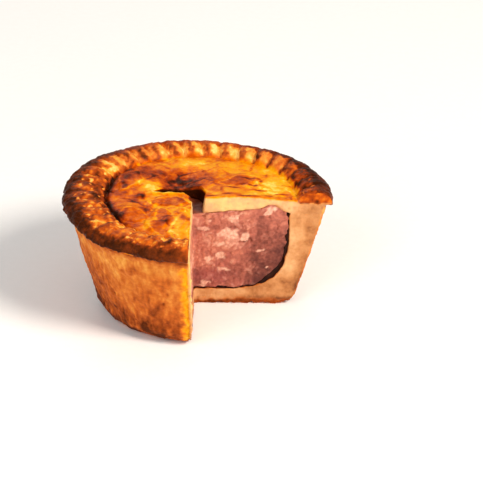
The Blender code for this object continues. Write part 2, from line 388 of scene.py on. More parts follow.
def welded(piece, facet=None, cutter=None):
    """Welds the points that lie on each other, such as those on the axis.

    With a facet size it then gives the piece facets of that size all over, after cutting
    the cutter out of it.
    """
    weld = piece.modifiers.new("weld", "WELD")
    weld.merge_threshold = WELD
    if cutter is not None:
        cut = piece.modifiers.new("cut", "BOOLEAN")
        cut.operation = "DIFFERENCE"
        cut.solver = "EXACT"
        cut.object = cutter
    if facet is not None:
        even = piece.modifiers.new("even", "REMESH")
        even.mode = "VOXEL"
        even.voxel_size = facet
    depsgraph = bpy.context.evaluated_depsgraph_get()
    mesh = bpy.data.meshes.new_from_object(piece.evaluated_get(depsgraph))
    piece.modifiers.clear()
    piece.data = mesh
    if cutter is not None:
        bpy.data.objects.remove(cutter)
    return piece


def points_of(piece):
    """Vertex places, (count, 3)."""
    flat = np.empty(len(piece.data.vertices) * 3)
    piece.data.vertices.foreach_get("co", flat)
    return flat.reshape(-1, 3)


def normals_of(piece):
    """Vertex normals, (count, 3)."""
    flat = np.empty(len(piece.data.vertices) * 3, np.float32)
    piece.data.vertex_normals.foreach_get("vector", flat)
    return flat.reshape(-1, 3).astype(float)


def set_points(piece, points):
    """Moves a piece's points to new places."""
    piece.data.vertices.foreach_set("co", points.reshape(-1))
    piece.data.update()


def carry(piece, **values):
    """Stores numbers with the mesh's points for the materials to read."""
    for name, value in values.items():
        layer = piece.data.attributes.new(name, "FLOAT", "POINT")
        layer.data.foreach_set("value", np.clip(value, 0.0, 1.0).astype(np.float32))


class Place:
    """Where each point of a piece is, told in the pie's own terms."""

    def __init__(self, points, normals):
        self.points = points
        self.x, self.y, self.z = points.T
        self.angle = np.arctan2(self.y, self.x)
        # Degrees run from the first cut to the last, with their jump in the missing quarter.
        self.degrees = (np.degrees(self.angle) + 45.0) % 360.0 - 45.0
        self.groove = along(self.degrees, GROOVE_RADII)
        self.radius = np.hypot(self.x, self.y) / stretch(self.angle)
        self.height = self.z - lift(self.angle, self.radius, self.z)
        self.from_right = self.beyond(FIRST_DEG, 1.0)
        self.from_left = self.beyond(LAST_DEG, -1.0)
        faces_right = smooth(0.55, 0.85, -normals[:, 1]) * (self.from_right < 0.6)
        faces_left = smooth(0.55, 0.85, normals[:, 0]) * (self.from_left < 0.6)
        self.cut = np.maximum(faces_right, faces_left)

    def beyond(self, cut_deg, side):
        """Depth behind one of the cut faces, and a large number beyond the corner."""
        over, up = math.cos(math.radians(cut_deg)), math.sin(math.radians(cut_deg))
        x, y = self.x - CORNER[0], self.y - CORNER[1]
        return np.where(x * over + y * up > -0.5, side * (y * over - x * up), 99.0)


def crumb_soak(at):
    """How far the cut pastry is darkened: by meat juices, most low down, and towards the right,
    partly by juices and partly as a painted shadow.
    """
    # Darker towards the right of the cut faces: partly soaking, partly a painted shadow.
    soak = 0.12 + 0.16 * smooth(16.0, 34.0, at.radius) * smooth(60.0, 0.0, at.degrees)
    soak = soak + 0.34 * smooth(35.5, 43.0, at.radius) * (at.from_right < 1.0)
    soak = soak + 0.10 * smooth(42.0, 36.0, at.height) * smooth(30.0, 36.0, at.radius)
    soak = soak + 0.34 * smooth(20.0, 6.0, at.height)
    # Darker outwards low down: partly soaking, partly a painted shadow.
    soak = soak + 0.12 * smooth(10.0, 28.0, at.radius) * smooth(18.0, 6.0, at.height)
    soak = soak - 0.25 * (at.from_left < 1.0) * smooth(20.0, 34.0, at.radius)
    return soak + 0.20 * lumps(at.points, 6.0, 42, 3) + 0.08 * lumps(at.points, 2.0, 47, 2)


def crumb_relief(points):
    """Roughness of cut pastry in mm, and how deep in one of its small holes a point is."""
    _, near, number = cells(points, 2.3, 36)
    pores = bump(near, 0.42) * (number > 0.62)
    rough = 0.22 * lumps(points, 3.2, 37, 3) + 0.08 * lumps(points, 1.2, 35, 2)
    return rough - 0.45 * pores, pores


# ---------------------------------------------------------------- case


def bowl(steps):
    """The cavity's outline from its mouth to the middle of its floor."""
    turn = np.linspace(0.0, 0.5 * math.pi, steps)
    out = CAVITY_RADIUS * np.clip(np.cos(turn), 0.0, 1.0) ** (2.0 / CAVITY_POWER)
    down = (JOINT - CAVITY_FLOOR) * np.sin(turn) ** (2.0 / CAVITY_POWER)
    return out, JOINT - down


def inwards(out, up, depth):
    """An outline moved in by a depth at each point; its ends stay on their lines."""
    run, rise = np.gradient(out), np.gradient(up)
    length = np.maximum(np.hypot(run, rise), 1e-6)
    moved_out = out + depth * rise / length
    moved_up = up - depth * run / length
    moved_up[0], moved_out[-1] = up[0], 0.0
    return np.maximum(moved_out, 0.0), moved_up


def make_case():
    """The raised case, from the middle of its base out, up, and down inside."""
    _, angles, ones = turns(LAST_DEG, CASE_STEPS)
    foot = FOOT_HEIGHT * (1.0 - np.cos(np.linspace(0.0, 0.5 * math.pi, 9)))
    wall = np.linspace(FOOT_HEIGHT, JOINT + OVERLAP, 26)[1:]
    outside = np.concatenate([foot, wall])
    in_out, in_up = bowl(26)
    in_up[0] = JOINT + OVERLAP
    out = np.concatenate([[0.0, 0.5 * FLAT_RADIUS], wall_radius(outside), in_out])
    up = np.concatenate([[0.0, 0.0], outside, in_up])
    verts, faces = swept(out[:, None] * ones, up[:, None] * ones, angles)
    return welded(object_from("crust_case", verts, faces), CASE_FACET)


# How much more or less the wall is baked round the pie.
WALL_BAKE = ((0, 0.0), (90, -0.02), (170, 0.14), (207, 0.14), (222, 0.07), (236, 0.03),
             (248, 0.09), (258, 0.05), (270, -0.02))


def wall_skin(points, at):
    """Relief of the wall's outside in mm, how far it is baked (with painted shade under the rim and
    in its pits), and the noise behind them.
    """
    flat = np.stack([at.angle * 44.0, at.radius, at.height * 0.36], -1)
    streaks = 0.6 * lumps(flat, 3.0, 31, 2) + 0.7 * lumps(flat, 1.3, 30, 2)
    swell = lumps(points, 9.0, 32, 2)
    grains = lumps(points, 1.5, 33, 2)
    _, pit_near, pit_number = cells(points * (1.0, 1.0, 0.7), 3.6, 34)
    pits = bump(pit_near, 0.5) * (pit_number > 0.82)
    move = 0.27 * streaks + 0.45 * swell + 0.14 * grains - 0.45 * pits

    bake = 0.49 + 0.12 * swell + 0.06 * grains + along(at.degrees, WALL_BAKE)
    bake = bake - 0.24 * np.maximum(streaks, 0.0) - 0.12 * np.minimum(streaks, 0.0)
    bake = bake + 0.34 * smooth(22.0, 3.0, at.height) - 0.14 * bump(at.height - 35.0, 4.0)
    bake = bake + 0.16 * smooth(0.1, 0.7, lumps(points, 6.5, 43, 2))
    # Painted shade: the wall is darkened just under the rim, where the rim's shadow falls, and in
    # its small pits.
    under_rim = ROLL_HEIGHT - along(at.degrees, ROLL_DOWNS) - at.height
    bake = bake + 0.22 * smooth(2.4, 0.6, under_rim) + 0.30 * pits
    return move, bake, swell, grains


# Deeper brown spots on the wall: degrees round the pie, height, size.
WALL_SPOTS = ((222.0, 11.0, 1.1), (237.0, 8.6, 0.7), (196.0, 24.0, 0.8),
              (128.0, 15.0, 1.0), (70.0, 9.0, 0.8), (38.0, 21.0, 0.7))


def texture_case(piece):
    """Streaked wall, crumb at the cuts torn to a fringe at the left one, a painted highlight on the
    wall beside that cut, and toasted base.
    """
    points, normals = points_of(piece), normals_of(piece)
    at = Place(points, normals)
    skin = wall_radius(at.height) - at.radius
    outside = (1.0 - smooth(0.6, 1.6, skin)) * (1.0 - at.cut)
    wall_move, bake, swell, grains = wall_skin(points, at)
    base = smooth(1.5, 0.3, at.height)
    wall_move = wall_move * (1.0 - base)

    cut_move, pores = crumb_relief(points)
    frayed = at.from_left + 0.9 * lumps(points, 3.0, 38, 3)
    # Painted highlight: a strip of the wall beside the left cut is painted pale yellow with the
    # egg-washed colours.
    torn = smooth(4.4, 1.4, frayed) * (at.y < -20.0) * (1.0 - base)
    chip = smooth(1.6, 0.2, frayed) * (at.y < -20.0) * outside
    in_cavity = (1.0 - outside) * (1.0 - at.cut) * smooth(2.0, 3.0, skin)
    frill = (at.from_left < 0.8) * at.cut * smooth(6.0, 2.0, skin) * smooth(3.0, 12.0, at.height)
    frill = frill * (0.6 + 0.9 * np.maximum(lumps(points, 2.6, 45, 2), 0.0))
    move = outside * wall_move + at.cut * cut_move - 0.8 * chip + frill
    move = move + 0.35 * in_cavity * lumps(points, 3.0, 46, 3)
    moved = points + normals * move[:, None]
    ragged = np.maximum(lumps(points, 3.6, 44, 3), 0.0) * smooth(2.6, 0.0, at.height)
    moved[:, 2] += 0.9 * ragged * smooth(3.0, 0.5, np.minimum(at.from_left, at.from_right))
    moved[:, 2] = np.maximum(moved[:, 2], 0.0)
    set_points(piece, moved)

    for degrees, height, size in WALL_SPOTS:
        away = np.hypot((at.degrees - degrees) * 0.74, (at.height - height) * 1.5)
        bake = bake + 0.38 * bump(away, 0.8 * size)
    # Painted highlight: the strip is made much less baked.
    bake = bake + torn * (0.22 + 0.12 * grains + 0.08 * swell - bake)
    bake = bake * (1.0 - base) + base * (0.62 + 0.2 * swell)

    edge_wall = 1.0 - smooth(0.15, 0.9 + 0.4 * lumps(points, 3.0, 40, 2), skin)
    edge_wall = edge_wall * np.where(at.from_left < 1.0, 0.2, 0.8)
    edge_base = 1.0 - smooth(1.0, 2.8, at.height + 0.8 * lumps(points, 4.0, 41, 3))
    edge = np.maximum(edge_wall, edge_base)
    soak = crumb_soak(at) + 0.3 * smooth(4.4, 1.8, at.height) * smooth(2.0, 20.0, at.radius)
    carry(
        piece,
        bake=np.where(at.cut > 0.5, 0.45 + 0.45 * edge_base + 0.12 * grains, bake),
        crumb=at.cut * (1.0 - edge),
        soak=soak,
        wash=0.9 * torn,
        deep=pores * at.cut,
    )


# ---------------------------------------------------------------- lid and rim


def crimp_at(angle_deg, roll_deg):
    """Distance in mm from the nearest thumb mark, a random number for the pad, and how far
    across the pad from 0 to 1."""
    lean = 1.7 * smooth(75.0, 175.0, roll_deg)
    phase = (angle_deg - 90.0) / PITCH_DEG + lean / PITCH
    nearest = np.round(phase)
    marks = np.stack([nearest, nearest * 0.0, nearest * 0.0 + 4.0], -1)
    shift = (hashed(marks, 51) - 0.5) * 1.2
    pad = np.floor(phase)
    pads = np.stack([pad, pad * 0.0, pad * 0.0 + 7.0], -1)
    return (phase - nearest) * PITCH - shift, hashed(pads, 52), phase - pad


def crimp_height(angle_deg, roll_deg):
    """How far the rim stands out from its plain roll, in mm."""
    away, number, across = crimp_at(angle_deg, roll_deg)
    share = along(angle_deg, CRIMP_SHARES)
    inner = smooth(72.0, 112.0, roll_deg) * (1.0 - 0.45 * smooth(150.0, 180.0, roll_deg))
    crest = bump(roll_deg - 78.0, 34.0)
    depth = share * (1.7 * inner + 0.35 * crest) + 0.12
    crown = share * (0.55 * inner + 0.12 * crest)
    pad = crown * (1.0 - (2.0 * across - 1.0) ** 2) + share * (number - 0.5) * 1.0 * inner
    return pad - depth * bump(away, MARK_WIDTH)


def roll_in(angle_deg):
    """How far the rim's roll reaches in from its middle to the groove."""
    return ROLL_RADIUS - along(angle_deg, GROOVE_RADII) + 1.0


def make_lid():
    """The lid, from the middle of its underside out, up over the rim, and back in on top."""
    degrees, angles, ones = turns(LAST_DEG, LID_STEPS)
    over, around = np.cos(angles), np.sin(angles)

    under_out = np.linspace(0.0, 1.0, 26)[:, None] * wall_radius(JOINT - OVERLAP) * ones
    over_wall = smooth(CAVITY_RADIUS - 1.2, CAVITY_RADIUS + 0.4, under_out)
    under_meat = (1.0 - over_wall) * meat_rise(under_out * over, under_out * around)
    under_up = JOINT - LID_LAP + under_meat - (OVERLAP - LID_LAP) * over_wall

    roll_deg = np.linspace(ROLL_FROM_DEG, ROLL_TO_DEG, 40)[:, None] * ones
    roll = np.radians(roll_deg)
    side = np.where(np.cos(roll) > 0.0, ROLL_OUT, roll_in(degrees) * ones)
    rise = np.where(np.sin(roll) > 0.0, ROLL_UP, along(degrees, ROLL_DOWNS))
    all_deg = np.broadcast_to(degrees, roll_deg.shape)
    reach = np.hypot(side * np.cos(roll), rise * np.sin(roll))
    grown = 1.0 + crimp_height(all_deg, roll_deg) / reach
    roll_out = ROLL_RADIUS + side * np.cos(roll) * grown
    roll_up = ROLL_HEIGHT + rise * np.sin(roll) * grown

    stub = np.linspace(0.0, 1.0, 6)[1:-1, None]
    stub_up = under_up[-1] + (roll_up[0] - under_up[-1]) * stub
    stub_out = wall_radius(stub_up) + LID_LAP

    top_out = np.linspace(1.0, 0.0, 46)[:, None] * along(degrees, GROOVE_RADII)
    top_up = lid_top(top_out * over, top_out * around)

    out = np.concatenate([under_out, stub_out, roll_out, top_out])
    up = np.concatenate([under_up, stub_up, roll_up, top_up])
    verts, faces = swept(out, up, angles)
    return welded(object_from("crust_lid", verts, faces), LID_FACET, hole_plug())


def hole_plug():
    """The space of the steam hole, a little wider at its top."""
    sides, rings = 72, 9
    edge = hole_edge(sides)
    middle = edge.mean(0)
    verts = []
    for height in np.linspace(HOLE_FROM, HOLE_TO, rings):
        flare = 1.0 + HOLE_FLARE * (height - 42.0)
        ring = middle + (edge - middle) * flare
        verts.append(np.column_stack([ring, np.full(sides, height)]))
    faces = []
    for ring in range(rings - 1):
        for side in range(sides):
            after = (side + 1) % sides
            here, there = ring * sides, (ring + 1) * sides
            faces.append((here + side, here + after, there + after, there + side))
    faces.append(tuple(reversed(range(sides))))
    faces.append(tuple(range((rings - 1) * sides, rings * sides)))
    return object_from("hole_plug", np.concatenate(verts), faces)


# Patches on the lid: middle, half sizes along x and y, and how much more or less baked.
LID_PATCHES = (
    ((20.0, 27.0), (15.0, 10.0), -0.19),
    ((29.0, 14.0), (9.0, 10.0), -0.24),
    ((16.0, 6.0), (16.0, 5.0), -0.15),
    ((11.0, 16.0), (6.0, 6.5), 0.10),
    ((1.0, 19.0), (6.5, 5.0), 0.08),
    ((-3.0, 32.0), (7.0, 4.5), -0.26),
    ((4.0, 35.5), (4.0, 2.5), 0.12),
    ((-22.0, 21.0), (10.0, 6.5), 0.24),
    ((-8.5, 15.5), (9.0, 7.5), 0.46),
    ((-31.0, 8.0), (6.0, 13.0), 0.28),
    ((-19.8, 9.0), (4.6, 9.0), -0.30),
    ((-23.5, -2.5), (3.0, 3.5), 0.18),
    ((-24.5, -18.0), (8.0, 8.0), 0.17),
    ((-32.0, -16.0), (4.0, 9.0), 0.20),
    ((-5.0, -25.0), (5.0, 15.0), -0.10),
    ((-10.0, -36.0), (9.0, 3.5), 0.10),
)
# Dark cracks in the lid's glaze, in the same terms.
LID_CRACKS = (
    ((20.0, 14.0), (3.6, 0.7), 0.32),
    ((22.6, 17.6), (0.8, 2.6), 0.30),
    ((18.5, 19.8), (3.2, 0.6), 0.26),
    ((10.5, 4.0), (2.2, 0.9), 0.30),
    ((18.0, 2.6), (3.0, 0.7), 0.34),
    ((5.0, 2.6), (2.6, 0.8), 0.26),
    ((26.0, 4.6), (2.6, 0.6), 0.26),
    ((8.0, 9.0), (0.7, 2.2), 0.20),
    ((22.5, 10.0), (3.2, 0.5), 0.34),
    ((30.5, 7.2), (3.0, 0.5), 0.30),
    ((12.5, 10.8), (2.6, 0.5), 0.30),
    ((24.5, 24.0), (0.5, 2.4), 0.22),
    ((-21.5, -1.0), (0.9, 2.0), 0.30),
    ((-24.5, -6.0), (2.0, 0.7), 0.30),
)

# How far the rim is baked round the pie: its outer side and crest, and its inner pads.
OUTER_BAKE = ((0, 0.84), (20, 0.96), (45, 0.94), (62, 0.80), (76, 0.66), (92, 0.62), (112, 0.66),
              (132, 0.78), (150, 0.86), (170, 0.96), (200, 1.02), (216, 0.98), (238, 0.93),
              (262, 0.92), (270, 0.76))
INNER_BAKE = ((0, 0.80), (18, 0.84), (30, 0.76), (45, 0.52), (58, 0.24), (75, 0.13), (92, 0.14),
              (106, 0.24), (122, 0.32), (136, 0.42), (150, 0.22), (160, 0.54), (176, 0.72),
              (202, 0.70), (222, 0.60), (242, 0.57), (262, 0.64), (270, 0.52))

# How knobbly the rim is round the pie, and the angle on its roll where the inner pads start.
KNOBBLY = ((0, 0.9), (35, 0.3), (135, 0.3), (165, 1.2), (272, 1.2))
PADS_FROM = ((0, 80.0), (145, 80.0), (190, 62.0), (225, 48.0), (272, 40.0))


def spotted(x, y, spots, roughness, width):
    """How much more or less baked a point is by the (middle, half sizes, more) spots."""
    total = np.zeros(len(x))
    for middle, sizes, more in spots:
        away = np.hypot((x - middle[0]) / sizes[0], (y - middle[1]) / sizes[1])
        total = total + more * bump(away + roughness, width)
    return total


def lid_browning(at, swell, knobs, grains):
    """How far the top of the lid is baked, with painted shade in the deep groove by the rim."""
    x, y = at.x, at.y
    bent_x, bent_y = ragged_plan(x, y)
    smoother = smooth(-2.0, 14.0, x + 0.4 * y)
    bake = 0.41 + 0.11 * swell + (0.22 - 0.10 * smoother) * knobs + 0.05 * grains
    stained = bump(np.hypot((x + 8.0) / 11.0, (y - 15.0) / 8.0), 1.0)
    bake = bake + 0.30 * stained * lumps(at.points, 2.2, 67, 3)
    bake = bake + spotted(bent_x, bent_y, LID_PATCHES, 0.15 * grains, 0.9)
    bake = bake + 1.7 * spotted(x, y, LID_CRACKS, 0.3 * grains, 0.95)
    for middle, length, width, turn, _, more in LEAVES:
        inside = leaf(bent_x, bent_y, middle, length, width, turn)
        bake = bake + more * smooth(-0.2, 0.8, inside) - 0.20 * bump(inside - 0.2, 0.5)
    # The steam hole's near lip is made lighter: partly paler pastry, partly a painted highlight.
    near_side = smooth(6.0, 3.0, y) * smooth(0.5, -3.0, x)
    bake = bake + 0.26 * lid_cracks(x, y) - 0.24 * near_side * bump(from_hole(x, y) - 0.4, 0.9)
    # Painted shade in the groove inside the rim, darkest where the groove is deepest.
    in_groove = smooth(0.88, 0.97, at.radius / at.groove)
    return bake + 0.5 * in_groove * smooth(0.4, 2.4, along(at.degrees, GROOVE_DEPTHS))


def rim_browning(at, roll_deg, swell, knobs, grains, blister):
    """How far the rim is baked, and how much of the egg wash it took."""
    knobbly = along(at.degrees, KNOBBLY)
    _, number, across = crimp_at(at.degrees, roll_deg)
    outer_bake = along(at.degrees, OUTER_BAKE)
    inner_bake = along(at.degrees, INNER_BAKE) + 0.20 * (number - 0.5)
    inner = smooth(0.0, 30.0, roll_deg - along(at.degrees, PADS_FROM) + 12.0 * grains)
    on_pad = smooth(0.92, 0.40, np.abs(across - 0.5) * 2.0 + 0.25 * grains)
    on_pad = on_pad * (1.0 - 0.6 * smooth(146.0, 172.0, roll_deg))
    between = np.minimum(inner_bake + 0.62, 0.86) - inner_bake
    inner_bake = inner_bake + between * (1.0 - on_pad) * along(at.degrees, CRIMP_SHARES)
    blotch = lumps(at.points, 2.4, 65, 3)
    bake = outer_bake + (inner_bake - outer_bake) * inner
    bake = bake + (0.07 + 0.10 * inner * knobbly) * knobs - 0.26 * inner * knobbly * blister
    bake = bake + (0.06 + 0.16 * inner) * blotch + 0.08 * swell
    flecks = smooth(0.42, 0.75, lumps(at.points, 2.1, 68, 3)) * inner * np.minimum(knobbly, 1.0)
    bake = bake + flecks * (0.10 - bake)
    floury = bump((at.degrees - 152.0) / 9.0, 1.0) * bump((roll_deg - 132.0) / 34.0, 1.0)
    bake = bake - 0.30 * smooth(0.35, 0.7, floury + 0.3 * blotch)
    bake = bake + 0.20 * smooth(160.0, 176.0, roll_deg)
    dry_pads = inner * smooth(24.0, 50.0, at.degrees) * smooth(165.0, 140.0, at.degrees)
    return bake, (1.0 - 0.3 * knobbly) * (1.0 - 0.7 * dry_pads) * (1.0 - 0.6 * flecks)


def texture_lid(piece):
    """Glazed top, crimped rim, crumb at the cuts, and the dark wall of the steam hole."""
    points, normals = points_of(piece), normals_of(piece)
    at = Place(points, normals)
    over, up = at.radius - ROLL_RADIUS, at.height - ROLL_HEIGHT
    roll_deg = np.degrees(np.arctan2(up / ROLL_UP, over / roll_in(at.degrees)))
    over_rim_foot = at.height - ROLL_HEIGHT + along(at.degrees, ROLL_DOWNS)
    rim = smooth(-1.0, 0.2, at.radius - at.groove) * smooth(-0.8, 0.4, over_rim_foot)
    top = at.height - lid_top(at.x / stretch(at.angle), at.y / stretch(at.angle))
    is_top = smooth(-2.6, -1.7, top) * (1.0 - rim)
    below = (1.0 - rim) * (1.0 - is_top)
    stub = below * (1.0 - at.cut) * smooth(36.0, 40.0, at.radius)

    swell = lumps(points, 8.0, 61, 2)
    knobs = lumps(points, 4.2, 62, 3)
    grains = lumps(points, 1.7, 63, 2)
    _, near, number = cells(points, 2.9, 64)
    blister = (1.0 - smooth(0.2, 1.5, near)) * (number > 0.5)
    rim_move = along(at.degrees, KNOBBLY) * (0.48 * knobs + 0.34 * blister) + 0.22 * grains
    top_move = 0.16 * knobs + 0.07 * grains + 0.10 * blister
    cut_move, pores = crumb_relief(points)
    # The stub under the rim takes the wall's colours, with their painted shade under the rim.
    stub_move, stub_bake, _, _ = wall_skin(points, at)
    move = (1.0 - at.cut) * (rim * rim_move + is_top * top_move) + at.cut * cut_move
    move = move + stub * stub_move
    set_points(piece, points + normals * move[:, None])

    lid_bake = lid_browning(at, swell, knobs, grains)
    rim_bake, rim_wash = rim_browning(at, roll_deg, swell, knobs, grains, blister)
    bake = lid_bake + (rim_bake - lid_bake) * rim
    burnt_end = smooth(42.4, 43.4, at.height + 0.5 * knobs)
    burnt_end = burnt_end * smooth(37.4, 38.8, at.radius + 0.5 * grains)
    skin_top = smooth(-0.75, -0.15, top + 0.25 * grains) * (1.0 - rim)
    skin_side = smooth(-1.1, -0.4, at.radius - wall_radius(at.height)) * below
    cut_bake = np.where(burnt_end > 0.4, 0.66 + 0.26 * knobs + 0.14 * grains, 0.24 + 0.1 * knobs)
    crumb = at.cut * (1.0 - np.maximum(np.maximum(burnt_end, skin_top), 0.8 * skin_side))
    hole_wall = smooth(1.8, 0.6, from_hole(at.x, at.y)) * smooth(-0.3, -1.1, top)
    fresh = hole_wall * smooth(3.0, 0.8, at.from_right)
    hole_wall = hole_wall - fresh
    bake = bake + hole_wall * (1.0 - bake)
    over_meat = at.height - JOINT - meat_rise(at.x, at.y)
    juicy = smooth(1.2, 0.0, over_meat) * smooth(36.5, 34.0, at.radius)
    carry(
        piece,
        bake=np.where(at.cut > 0.5, cut_bake, np.where(stub > 0.5, stub_bake, bake)),
        crumb=np.maximum(crumb, fresh) * (1.0 - hole_wall),
        soak=crumb_soak(at) + 0.22 * juicy,
        wash=np.maximum(np.clip(is_top + rim * rim_wash, 0.0, 1.0), hole_wall),
        deep=pores * at.cut,
    )


# ---------------------------------------------------------------- meat and jelly


def seam_thickness(steps):
    """Thickness of the jelly seam from the cavity's mouth to the middle of its floor."""
    share = np.linspace(0.0, 1.0, steps)
    side = SEAM_SIDE * smooth(-0.05, 0.12, share)
    corner = (SEAM_CORNER - SEAM_SIDE) * bump(share - 0.5, 0.16)
    return SEAM_THIN + (side + corner) * (1.0 - smooth(0.55, 0.85, share))


def make_filling():
    """The pork, from the middle of its top out, and down the inside of the jelly."""
    steps, across = 40, 30
    _, angles, ones = turns(MEAT_LAST_DEG, MEAT_STEPS)
    mouth_out, mouth_up = bowl(steps)
    side_out, side_up = inwards(mouth_out, mouth_up, seam_thickness(steps))
    top_out = np.linspace(0.0, 1.0, across)[:-1, None] * side_out[0] * ones
    out = np.concatenate([top_out, side_out[:, None] * ones])
    rise = meat_rise(out[:across] * np.cos(angles), out[:across] * np.sin(angles))
    rise[-1] *= 0.3
    up = np.concatenate([JOINT + rise, side_up[1:, None] * ones])
    verts, faces = swept(out, up, angles)
    faces = [tuple(reversed(face)) for face in faces]
    return welded(object_from("pork_filling", verts, faces), MEAT_FACET)


# Pieces of fat and dark pits on the right-hand cut face: place across and up, half sizes.
FAT_PIECES = (
    ((11.2, 29.4), (3.4, 2.7)),
    ((12.8, 36.0), (1.9, 1.4)),
    ((2.8, 18.8), (2.4, 1.3)),
    ((17.8, 28.6), (1.7, 2.0)),
    ((8.4, 20.2), (2.2, 1.5)),
    ((9.8, 14.8), (2.2, 1.1)),
    ((1.8, 31.4), (2.6, 0.9)),
    ((4.0, 35.2), (0.9, 0.6)),
    ((24.0, 23.4), (1.4, 0.9)),
    ((27.4, 39.6), (2.0, 2.0)),
    ((26.0, 15.8), (0.8, 0.6)),
    ((2.0, 8.8), (2.2, 0.9)),
    ((8.4, 25.2), (3.0, 0.9)),
)
# The pits are also darkened in the colours: painted shade in them.
DARK_PITS = (((20.2, 26.3), (0.6, 1.3)), ((30.2, 32.8), (0.5, 1.6)), ((14.8, 39.2), (0.9, 0.6)),
             ((2.6, 37.6), (1.6, 0.5)), ((16.4, 26.6), (1.2, 0.4)), ((27.4, 36.4), (0.4, 1.3)))


def blobs(over, up, pieces, raggedness):
    """1 inside any of some uneven ovals on the right-hand cut face."""
    total = np.zeros(len(over))
    for middle, sizes in pieces:
        away = np.hypot((over - middle[0]) / sizes[0], (up - middle[1]) / sizes[1])
        total = np.maximum(total, 1.0 - smooth(0.7, 1.15, away + raggedness))
    return total


def texture_filling(piece):
    """Chopped lean and fat at the cuts, and the uneven outside that the jelly has filled."""
    points, normals = points_of(piece), normals_of(piece)
    at = Place(points, normals)
    bend = np.stack([lumps(points, 5.0, 71 + axis, 3) for axis in range(3)], -1)
    bent = points + 1.8 * bend
    seam, _, number = cells(bent, 5.2, 74)
    fine_seam, _, fine_number = cells(bent, 2.2, 75)
    grains = lumps(points, 1.3, 76, 2)
    swell = lumps(points, 7.0, 77, 2)
    on_right = (at.from_right < 0.8) * (at.y > CORNER[1] - 0.5)
    ragged = 0.30 * bend[:, 0] + 0.22 * lumps(points, 2.2, 81, 2)
    aside, above = (1.1 * lumps(points, 3.0, 82 + axis, 3) for axis in range(2))
    hand_fat, pits = (blobs(at.x + aside, at.z + above, pieces, ragged) * on_right
                      for pieces in (FAT_PIECES, DARK_PITS))

    chance_fat = smooth(0.80, 0.84, number) * smooth(0.15, 0.7, seam + 0.2 * grains)
    flecks = smooth(0.82, 0.86, fine_number) * smooth(0.05, 0.45, fine_seam)
    # Towards the right of the cut face the meat has fewer fat flecks and darker lean: partly its own
    # colour, partly a painted shadow.
    lean_right = smooth(10.0, 27.0, at.x) * on_right
    chance = np.maximum(0.8 * chance_fat, 0.5 * flecks) * (1.0 - 0.75 * lean_right)
    fat = np.maximum(0.9 * hand_fat, chance * np.where(on_right, 0.5, 1.0))
    gap = (1.0 - smooth(0.0, 0.42, seam)) * smooth(0.5, 0.9, number)
    fine_gap = 1.0 - smooth(0.0, 0.30, fine_seam)

    move = 0.30 * (number - 0.5) + 0.20 * (fine_number - 0.5) + 0.16 * grains + 0.15 * swell
    move = move - 0.30 * gap - 0.12 * fine_gap - 0.5 * pits
    move = at.cut * move + (1.0 - at.cut) * 0.4 * lumps(points, 4.0, 78, 2)
    uneven = 0.70 * lumps(points, 3.4, 79, 3) * smooth(30.0, 34.0, at.radius)
    moved = points + normals * move[:, None]
    moved[:, :2] += points[:, :2] * (uneven / np.maximum(np.hypot(at.x, at.y), 1.0))[:, None]
    moved[:, 2] += smooth(12.0, 8.0, at.z) * 0.55 * lumps(points, 2.6, 80, 3)
    set_points(piece, moved)

    lean = 0.60 + 0.20 * (number - 0.5) + 0.18 * (fine_number - 0.5) + 0.16 * swell + 0.14 * grains
    # Darker lean towards the right: partly a painted shadow.
    lean = lean - 0.46 * lean_right * smooth(43.0, 24.0, at.z) - 0.12 * smooth(22.0, 9.0, at.z)
    lean = lean + 0.08 * smooth(12.0, 4.0, at.x) * smooth(14.0, 20.0, at.z)
    purple = bump(np.hypot((at.x - 4.0) / 8.0, (at.z - 11.5) / 4.0), 0.9) * on_right
    # The meat's top, seen only through the steam hole, is darkened: painted shade.
    under_hole = (1.0 - at.cut) * smooth(36.0, 38.0, at.z) * smooth(30.0, 26.0, at.radius)
    gap = np.maximum(0.25 * gap + 0.09 * fine_gap, 0.6 * pits)
    carry(
        piece,
        lean=lean - 0.12 * purple,
        fat=fat * (1.0 - pits),
        gap=np.maximum(gap, 1.4 * under_hole),
        purple=purple + 0.35 * (fine_number > 0.7) * (1.0 - lean_right),
    )


def make_jelly():
    """The jelly: between the meat and the crust, and a little set back at both cuts."""
    steps = 60
    _, angles, ones = turns(MEAT_LAST_DEG, JELLY_STEPS)
    mouth_out, mouth_up = bowl(steps)
    outer_out, outer_up = inwards(mouth_out, mouth_up, np.full(steps, -SEAM_INTO_CRUST))
    inner_depth = seam_thickness(steps) + SEAM_INTO_MEAT
    inner_out, inner_up = inwards(mouth_out, mouth_up, inner_depth)
    outer_up[0] = inner_up[0] = JOINT - SEAM_UNDER_JOINT
    out = np.concatenate([outer_out, inner_out[::-1]])
    up = np.concatenate([outer_up, inner_up[::-1]])
    verts, faces = swept(out[:, None] * ones, up[:, None] * ones, angles)
    faces = [tuple(reversed(face)) for face in faces]
    piece = welded(object_from("jelly_seam", verts, faces))
    points = points_of(piece)
    at = Place(points, np.zeros_like(points))
    recess = SEAM_RECESS + 0.2 * lumps(points, 2.0, 91, 2)
    for cut_deg, side in ((FIRST_DEG, 1.0), (MEAT_LAST_DEG, -1.0)):
        inward = side * (np.abs(at.beyond(cut_deg, side)) < 0.3) * recess
        points[:, 0] -= inward * math.sin(math.radians(cut_deg))
        points[:, 1] += inward * math.cos(math.radians(cut_deg))
    set_points(piece, points)
    return piece


# ---------------------------------------------------------------- materials

# A mix node has a set of sockets for each kind of data. These are the ones for colours.
SHARE, UNDER, OVER, MIXED = 0, 6, 7, 2


